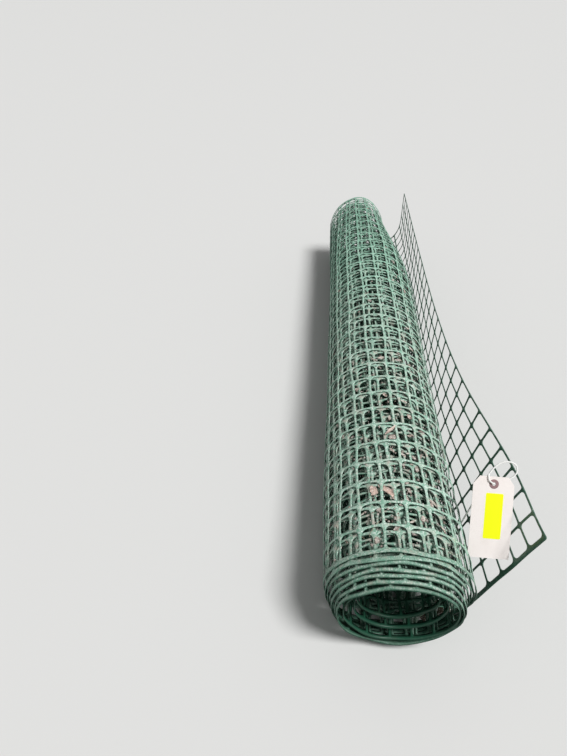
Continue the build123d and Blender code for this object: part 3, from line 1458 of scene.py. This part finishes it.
def tube(line: np.ndarray, radii: np.ndarray, sides: int) -> MeshData:
    """Round tube with closed ends.

    Args:
        line: Points along the tube.
        radii: Its radius at each point.
        sides: Corners of its section.

    Returns:
        Points and faces.
    """
    first, second = frames_along(line)
    angles = np.arange(sides) * FULL_TURN / sides
    ring = first[:, None] * np.cos(angles)[None, :, None] + second[:, None] * np.sin(angles)[None, :, None]
    points = (line[:, None] + ring * radii[:, None, None]).reshape(-1, 3)
    faces = []
    for low in range(0, (len(line) - 1) * sides, sides):
        high = low + sides
        for side in range(sides):
            after = (side + 1) % sides
            faces.append([low + side, low + after, high + after, high + side])
    faces.append(list(reversed(range(sides))))
    faces.append([len(points) - sides + side for side in range(sides)])
    return points, faces


@dataclass
class TieString:
    """White cotton string that ties the tag to the net. Sizes in millimetres, in the card's plane."""

    plane: TagPlane
    diameter: float = 2.6
    length: float = 180.2
    plies: int = 3
    ply_share: float = 0.27
    ply_sides: int = 7
    twist: float = 5.5
    steps_per_twist: int = 14
    unevenness: float = 0.06
    uneven_rate: float = 2.3

    # Its routes, and how the spline that they steer is drawn
    spline_order: int = 3
    spline_steps: int = 24
    route: tuple[Point, ...] = (
        (-36.5, -15.9, -20.0),
        (-24.5, 17.0, -11.2),
        (-17.0, 37.0, -6.0),
        (-11.5, 53.0, -4.0),
        (-5.5, 67.5, -2.6),
        (3.5, 79.0, -0.5),
        (17.0, 84.5, 0.5),
        (30.5, 80.0, 0.2),
        (32.5, 67.0, -1.2),
        (24.5, 58.6, -3.2),
        (14.0, 52.0, -3.0),
        (3.0, 49.0, -2.6),
    )
    end_route: tuple[Point, ...] = (
        (0.6, 48.9, -1.6),
        (-0.8, 49.3, 1.0),
        (-3.6, 50.9, 1.75),
        (-6.6, 52.7, 1.7),
        (-8.6, 55.6, 1.45),
        (-9.3, 59.2, 1.3),
        (-9.2, 61.4, 0.4),
        (-8.6, 63.2, -1.0),
    )
    cotton: PlainFinish = PlainFinish(
        name="cotton_string",
        colour=(0.92, 0.92, 0.90),
        dirt=(0.62, 0.60, 0.54),
        dirt_scale=90.0,
        dirt_amount=0.12,
        grain=Grain(5000.0, 0.3, 0.5, 0.0001),
        roughness=0.85,
    )

    def centreline(self, route: tuple[Point, ...]) -> np.ndarray:
        """Points along the smooth spline that a route's points steer.

        Args:
            route: Points in the card's plane.

        Returns:
            Points in metres, close together.
        """
        curve = bpy.data.curves.new("string_route", "CURVE")
        curve.dimensions = "3D"
        curve.resolution_u = self.spline_steps
        spline = curve.splines.new("NURBS")
        spline.points.add(len(route) - 1)
        for point, place in zip(spline.points, route):
            point.co = (*self.plane.point(*place), 1.0)
        spline.order_u = self.spline_order
        spline.use_endpoint_u = True
        holder = bpy.data.objects.new("string_route", curve)
        bpy.context.scene.collection.objects.link(holder)
        bpy.context.view_layer.update()
        mesh = bpy.data.meshes.new_from_object(holder.evaluated_get(bpy.context.evaluated_depsgraph_get()))
        points = np.array([tuple(vertex.co) for vertex in mesh.vertices])
        bpy.data.objects.remove(holder)
        bpy.data.meshes.remove(mesh)
        return points

    def laid(self, name: str, line: np.ndarray) -> bpy.types.Object:
        """Twist the string's plies round a line.

        Args:
            name: The piece's name.
            line: Points along its middle, in metres.

        Returns:
            The piece.
        """
        lengths = np.concatenate(([0.0], np.cumsum(np.linalg.norm(np.diff(line, axis=0), axis=1))))
        steps = np.arange(0.0, lengths[-1], self.twist * MM / self.steps_per_twist)
        even = np.stack([np.interp(steps, lengths, line[:, axis]) for axis in range(3)], axis=1)
        first, second = frames_along(even)
        ply_radius = self.diameter * MM * self.ply_share
        off = self.diameter * MM / 2 - ply_radius
        plies = []
        for ply in range(self.plies):
            angle = steps / (self.twist * MM) * FULL_TURN + ply * FULL_TURN / self.plies
            wound = even + off * (first * np.cos(angle)[:, None] + second * np.sin(angle)[:, None])
            radii = ply_radius * (1.0 + self.unevenness * np.sin(steps / MM * self.uneven_rate + ply))
            plies.append(tube(wound, radii, self.ply_sides))
        return mesh_object(name, *joined(plies))

    def build(self, effects: Effects) -> list[bpy.types.Object]:
        """Args:
            effects: Shared node groups.

        Returns:
            The pieces.
        """
        line = self.centreline(self.route)
        string = self.laid("string_tie", line)
        end = self.laid("string_end", self.centreline(self.end_route))
        material = self.cotton.material(effects)
        for piece in (string, end):
            dress(piece, material)
            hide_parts("tag_string")
            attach(piece, "root")
        return [string, end]


# What the net has caught


@dataclass(frozen=True)
class LeafBit:
    """A bit of dry leaf: its place in the net, size in millimetres, heading in degrees and tone."""

    column: float
    row: float
    length: float
    width: float
    heading: float
    lift: float
    curl: float
    tone: float


@dataclass
class CaughtLitter:
    """Dry leaf bits, grass stems and crumbs that lie between the turns. Sizes in millimetres."""

    sheet: NetSheet
    seed: int = 11
    leaf_count: int = 84
    stem_count: int = 14
    crumb_count: int = 1200

    # Bits placed as listed: turns in and row, then length, width, heading, lift, curl and tone
    by_hand: tuple[tuple[float, ...], ...] = (
        (1.468, 2.72, 29.0, 10.0, 122.0, 2.0, 1.8, 0.16),
        (1.442, 2.70, 16.0, 12.0, 75.0, 1.6, 1.2, 0.22),
        # The last four, of tone 1.0, are dark bits at the near end between the turns and in the bore: painted
        # shade
        (1.865, 0.32, 20.0, 15.0, 80.0, 1.6, 0.8, 1.0),
        (1.912, 0.35, 17.0, 13.0, 20.0, 1.6, 0.6, 1.0),
        (0.876, 0.65, 14.0, 11.0, 30.0, -1.6, 0.3, 1.0),
        (0.845, 0.20, 13.0, 10.0, 60.0, -1.6, 0.3, 1.0),
    )
    twig: LeafBit = LeafBit(17.72, 5.54, 27.0, 5.5, 47.0, 2.2, 1.0, 0.3)

    # Bits placed as listed and shaped by chance: turns in, row and length
    seen: tuple[Point, ...] = (
        (1.458, 3.15, 7.2),
        (1.480, 2.37, 6.4),
        (1.500, 2.15, 9.6),
        (1.472, 2.20, 7.2),
        (1.450, 1.85, 8.0),
        (1.440, 0.65, 9.6),
        (1.485, 1.10, 11.2),
        (1.550, 1.52, 10.4),
        (1.580, 2.37, 14.4),
        (1.520, 3.10, 11.2),
        (1.500, 6.42, 11.2),
        (1.550, 6.70, 10.4),
        (1.495, 5.77, 8.0),
        (1.547, 5.54, 12.0),
        (1.495, 4.64, 9.6),
        (1.518, 4.45, 11.2),
        (1.550, 3.82, 10.4),
        (1.488, 10.5, 12.0),
        (1.538, 10.5, 13.6),
        (1.595, 12.0, 12.8),
        (1.600, 13.8, 12.0),
        (1.492, 7.80, 10.4),
    )
    seen_lift: float = 1.8

    # The angles that litter gathers at, in turns past a whole one: middle and spread
    leaf_angle: Flat = (0.52, 0.09)
    stem_angle: Flat = (0.55, 0.12)
    crumb_angle: Flat = (0.52, 0.10)

    # How far from the near end it spreads, in rows
    stem_reach: float = 10.0
    crumb_reach: float = 9.0

    # Leaf bits: how they are torn, tapered, swayed, crumpled and rippled
    leaf_lengths: Span = (3.0, 18.0)
    torn: Span = (0.75, 1.1)
    taper: float = 0.86
    bluntness: float = 0.6
    sway: float = 0.12
    sway_rate: float = 5.0
    crumple: float = 0.03
    ripple: float = 0.6
    ripple_rate: float = 6.0
    blade_steps: tuple[int, int] = (6, 4)
    half_thick: float = 0.12

    # Stems, then crumbs
    stem_points: int = 12
    stem_sides: int = 5
    stem_lengths: Span = (15.0, 45.0)
    stem_bend: float = 5.0
    stem_radii: Flat = (0.55, 0.25)
    stem_tone: float = 0.7
    crumb_lift: float = 1.1
    crumb_tones: Span = (0.55, 1.0)

    # Their finishes
    leaf: LeafFinish = LeafFinish()
    grass: PlainFinish = PlainFinish(
        name="dry_grass",
        colour=(0.42, 0.37, 0.26),
        dirt=(0.16, 0.12, 0.07),
        dirt_scale=60.0,
        dirt_amount=0.7,
        grain=Grain(2500.0, 0.3, 0.5, 0.0002),
        roughness=0.85,
    )

    def build(self, effects: Effects) -> list[bpy.types.Object]:
        """Build the leaf bits, the stems and the crumbs.

        Args:
            effects: Shared node groups.

        Returns:
            The pieces.
        """
        chance = np.random.default_rng(self.seed)
        pieces = []
        for name, finish, make in (
            ("caught_leaf_bits", self.leaf, self._leaves),
            ("caught_grass_stems", self.grass, self._stems),
            ("caught_crumbs", self.leaf, self._crumbs),
        ):
            points, faces, tones = make(chance)
            piece = mesh_object(name, points, faces)
            store(piece, "tone", tones)
            dress(piece, finish.material(effects))
            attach(piece, "root")
            pieces.append(piece)
        return pieces

    def _column(self, turns: float, row: float) -> float:
        """Column of a place in the winding.

        Args:
            turns: Turns in from the lowest line.
            row: Rows from the near selvedge.

        Returns:
            Columns in from the cut edge.
        """
        sheet = self.sheet
        wanted = sheet.length_at(turns)
        column = (wanted + sheet.mean_free) / sheet.cell_round
        for _ in range(3):
            column += (wanted - float(sheet.wound(np.array(column), np.array(row)))) / sheet.cell_round
        return column

    def _on_net(self, column: float, row: float, place: ArrayPair) -> ArrayPair:
        """Column and row of places in millimetres from a place in the net."""
        right, up = place
        return column + right / self.sheet.cell_round, row + up / self.sheet.cell_along

    def _bits(self, chance: np.random.Generator) -> list[LeafBit]:
        """Choose the leaf bits: some given, the rest by chance, more of them towards the near end.

        Args:
            chance: Source of what isn't given.

        Returns:
            The bits.
        """
        bits = [LeafBit(self._column(turns, row), row, *sizes) for turns, row, *sizes in self.by_hand]
        bits.append(self.twig)
        for turns, row, length in self.seen:
            width, heading = length * chance.uniform(0.45, 0.8), chance.uniform(0.0, 360.0)
            lift, curl, tone = self.seen_lift, chance.uniform(0.2, 1.2), chance.uniform(0.33, 0.9)
            bits.append(LeafBit(self._column(turns, row), row, length, width, heading, lift, curl, tone))
        shortest, longest = self.leaf_lengths
        while len(bits) < self.leaf_count:
            turns = float(chance.choice([1.0, 2.0], p=[0.7, 0.3])) + chance.normal(*self.leaf_angle)
            near, middle = chance.normal(4.0, 2.4), chance.normal(13.0, 4.5)
            row = float(chance.choice([near, middle, chance.uniform(1.0, 29.0)]))
            length = min(float(chance.gamma(3.0, 2.0)) + shortest, longest)
            width, heading = length * chance.uniform(0.3, 0.75), chance.uniform(0.0, 360.0)
            lift, curl, tone = chance.uniform(1.3, 2.2), chance.uniform(-0.6, 1.2), chance.uniform(0.38, 1.0)
            if 0.4 < row < self.sheet.rows - 0.5:
                bits.append(LeafBit(self._column(turns, row), row, length, width, heading, lift, curl, tone))
        return bits

    def _leaves(self, chance: np.random.Generator) -> tuple[np.ndarray, list[list[int]], np.ndarray]:
        """Build the leaf bits.

        Args:
            chance: Source of what isn't given.

        Returns:
            Points, faces and the points' tones.
        """
        bits = self._bits(chance)
        blades = [self._blade(bit, chance) for bit in bits]
        tones = [np.full(len(points), bit.tone) for bit, (points, _) in zip(bits, blades)]
        return *joined(blades), np.concatenate(tones)

    def _blade(self, bit: LeafBit, chance: np.random.Generator) -> MeshData:
        """One leaf bit as a torn, curled sheet with two faces.

        Args:
            bit: Its place and sizes.
            chance: Source of its torn outline.

        Returns:
            Points in metres and faces.
        """
        long_steps, wide_steps = self.blade_steps
        along = np.linspace(-0.5, 0.5, long_steps + 1)[:, None]
        wide = np.linspace(-0.5, 0.5, wide_steps + 1)[None, :]
        outline = np.cos(along * math.pi * self.taper) ** self.bluntness
        outline = outline * chance.uniform(*self.torn, len(along))[:, None]
        up = wide * outline * bit.width + self.sway * bit.width * np.sin(along * self.sway_rate)
        right = along * bit.length + chance.normal(0.0, self.crumple * bit.length, up.shape)
        rippled = self.ripple * np.sin(along * self.ripple_rate + bit.heading)
        height = bit.lift + bit.curl * ((2 * wide) ** 2 + rippled)
        place = turned_by(math.radians(bit.heading), right, up)
        column, row = self._on_net(bit.column, bit.row, place)
        faces = []
        for here in range(long_steps * (wide_steps + 1)):
            if here % (wide_steps + 1) < wide_steps:
                corners = [here, here + wide_steps + 1, here + wide_steps + 2, here + 1]
                faces += [corners, [corner + up.size for corner in reversed(corners)]]
        offs = (self.half_thick, -self.half_thick)
        layers = [self.sheet.surface(column, row, height + off).reshape(-1, 3) for off in offs]
        return np.concatenate(layers), faces

    def _stems(self, chance: np.random.Generator) -> tuple[np.ndarray, list[list[int]], np.ndarray]:
        """Build thin dry stems, most of them between the outer turns.

        Args:
            chance: Source of their places and sizes.

        Returns:
            Points, faces and the points' tones.
        """
        stems, share, last_row = [], np.linspace(-0.5, 0.5, self.stem_points), self.sheet.rows
        for _ in range(self.stem_count):
            turns = float(chance.choice([1.0, 2.0])) + chance.normal(*self.stem_angle)
            row = float(np.clip(abs(chance.normal(0.0, self.stem_reach)), 0.8, last_row - 2.0))
            length, bend = chance.uniform(*self.stem_lengths), chance.normal(0.0, self.stem_bend)
            heading = chance.uniform(0.0, FULL_TURN)
            place = turned_by(heading, share * length, bend * (1 - (2 * share) ** 2))
            columns, rows = self._on_net(self._column(turns, row), row, place)
            lift = np.full(self.stem_points, chance.uniform(1.5, 2.2))
            line = self.sheet.surface(columns, np.clip(rows, 0.2, last_row - 0.2), lift)
            radii = np.linspace(*self.stem_radii, self.stem_points) * MM * chance.uniform(0.7, 1.2)
            stems.append(tube(line, radii, self.stem_sides))
        points, faces = joined(stems)
        return points, faces, np.full(len(points), self.stem_tone)

    def _crumbs(self, chance: np.random.Generator) -> tuple[np.ndarray, list[list[int]], np.ndarray]:
        """Build small crumbs of dead leaf and soil on the inner turns, most of them near the near end.

        Args:
            chance: Source of their places and shapes.

        Returns:
            Points, faces and the points' tones.
        """
        tips = np.array(((1, 0, 0), (0, 1, 0), (-1, 0, 0), (0, -1, 0), (0, 0, 0.5), (0, 0, -0.4)), float)
        sides = ((0, 1), (1, 2), (2, 3), (3, 0))
        faces = [[a, b, 4] for a, b in sides] + [[b, a, 5] for a, b in sides]
        crumbs = []
        for _ in range(self.crumb_count):
            gap = float(chance.choice([1.0, 2.0, 3.0], p=[0.5, 0.3, 0.2]))
            turns = gap + chance.normal(*self.crumb_angle)
            from_end = abs(chance.normal(0.0, self.crumb_reach)) + 0.3
            row = float(np.clip(from_end, 0.3, self.sheet.rows - 0.4))
            size = float(chance.gamma(3.0, 0.5)) + 0.6
            heading = chance.uniform(0.0, math.pi)
            shape = tips * size * chance.uniform(0.65, 1.25, tips.shape) * (1.0, 0.7, 0.7)
            place = turned_by(heading, shape[:, 0], shape[:, 1])
            columns, rows = self._on_net(self._column(turns, row), row, place)
            crumbs.append((np.stack((columns, rows, shape[:, 2] + self.crumb_lift), axis=1), faces))
        flat, all_faces = joined(crumbs)
        tones = np.repeat(chance.uniform(*self.crumb_tones, self.crumb_count), len(tips))
        return self.sheet.surface(flat[:, 0], flat[:, 1], flat[:, 2]), all_faces, tones


# The studio


@dataclass
class Studio:
    """Floor, lights, world and the camera at the photograph's angle. Metres and degrees."""

    floor_height: float
    floor_reach: float = 14.0
    floor_colour: Colour = (0.68, 0.68, 0.67)
    floor_roughness: float = 0.9
    background: Colour = (0.80, 0.80, 0.79)
    sky: Colour = (1.0, 1.0, 1.0)
    sky_strength: float = 0.24
    camera_place: Point = (-0.1304, -1.002, 0.7324)
    camera_down: float = 39.806
    camera_heading: float = 4.385
    lens: float = 26.0
    sensor: float = 36.0
    nearest: float = 0.05
    lamps: tuple[tuple[str, Point, float, float], ...] = (
        ("key", (0.52, -0.28, 1.0), 3.1, 20.0),
        ("side", (-1.0, -0.7, 0.8), 0.10, 50.0),
    )

    def build(self) -> None:
        """Build everything that isn't part of the roll."""
        self._camera()
        self._floor()
        self._lights()
        self._world()
        bpy.context.scene.view_settings.view_transform = "Standard"

    def _camera(self) -> None:
        """Place the camera."""
        data = bpy.data.cameras.new("camera")
        data.lens = self.lens
        data.sensor_width = self.sensor
        data.clip_start = self.nearest
        camera = bpy.data.objects.new("camera", data)
        camera.location = self.camera_place
        turned = (90.0 - self.camera_down, 0.0, self.camera_heading)
        camera.rotation_euler = [math.radians(angle) for angle in turned]
        bpy.context.scene.collection.objects.link(camera)
        bpy.context.scene.camera = camera

    def _floor(self) -> None:
        """Lay the floor."""
        sides = ((-1, -1), (1, -1), (1, 1), (-1, 1))
        corners = [(x * self.floor_reach, y * self.floor_reach, self.floor_height) for x, y in sides]
        floor = mesh_object("floor", np.array(corners), [[0, 1, 2, 3]], False)
        material, shader, surface = new_material("pale_floor")
        shader.feed(surface, Base_Color=self.floor_colour, Roughness=self.floor_roughness)
        dress(floor, material)
        floor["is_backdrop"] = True

    def _lights(self) -> None:
        """Set the soft lamps: name, direction that the light comes from, strength and softness."""
        for name, source, strength, softness in self.lamps:
            data = bpy.data.lights.new(name, "SUN")
            data.energy = strength
            data.angle = math.radians(softness)
            lamp = bpy.data.objects.new(name, data)
            lamp.location = source
            lamp.rotation_euler = Vector(source).to_track_quat("Z", "Y").to_euler()
            bpy.context.scene.collection.objects.link(lamp)

    def _world(self) -> None:
        """Light the scene evenly from all round, with a pale background behind it."""
        world = bpy.data.worlds.new("studio")
        world.use_nodes = True
        world.node_tree.nodes.clear()
        shader = Shader(world.node_tree)
        seen = shader.add("ShaderNodeLightPath").outputs["Is Camera Ray"]
        lit = shader.add("ShaderNodeBackground", None, Color=self.sky, Strength=self.sky_strength)
        shown = shader.add("ShaderNodeBackground", None, Color=self.background, Strength=1.0)
        mixed = shader.add("ShaderNodeMixShader", None, n0=seen, n1=lit.outputs[0], n2=shown.outputs[0])
        shader.add("ShaderNodeOutputWorld", None, Surface=mixed.outputs[0])
        bpy.context.scene.world = world


def main() -> None:
    """Build the studio and every piece of the roll, in order, and report each piece."""
    logging.basicConfig(level=logging.INFO, format="%(message)s")
    cad_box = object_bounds()
    Studio(cad_box[0][2]).build()
    effects = Effects()
    sheet = NetSheet()
    plane = TagPlane()
    for assembly in (FencingRoll(sheet), CaughtLitter(sheet), CardTag(plane), TieString(plane)):
        for piece in assembly.build(effects):
            LOG.info("piece %s, %d faces", piece.name, len(piece.data.polygons))
    bpy.context.view_layer.update()


if __name__ == "__main__":
    main()
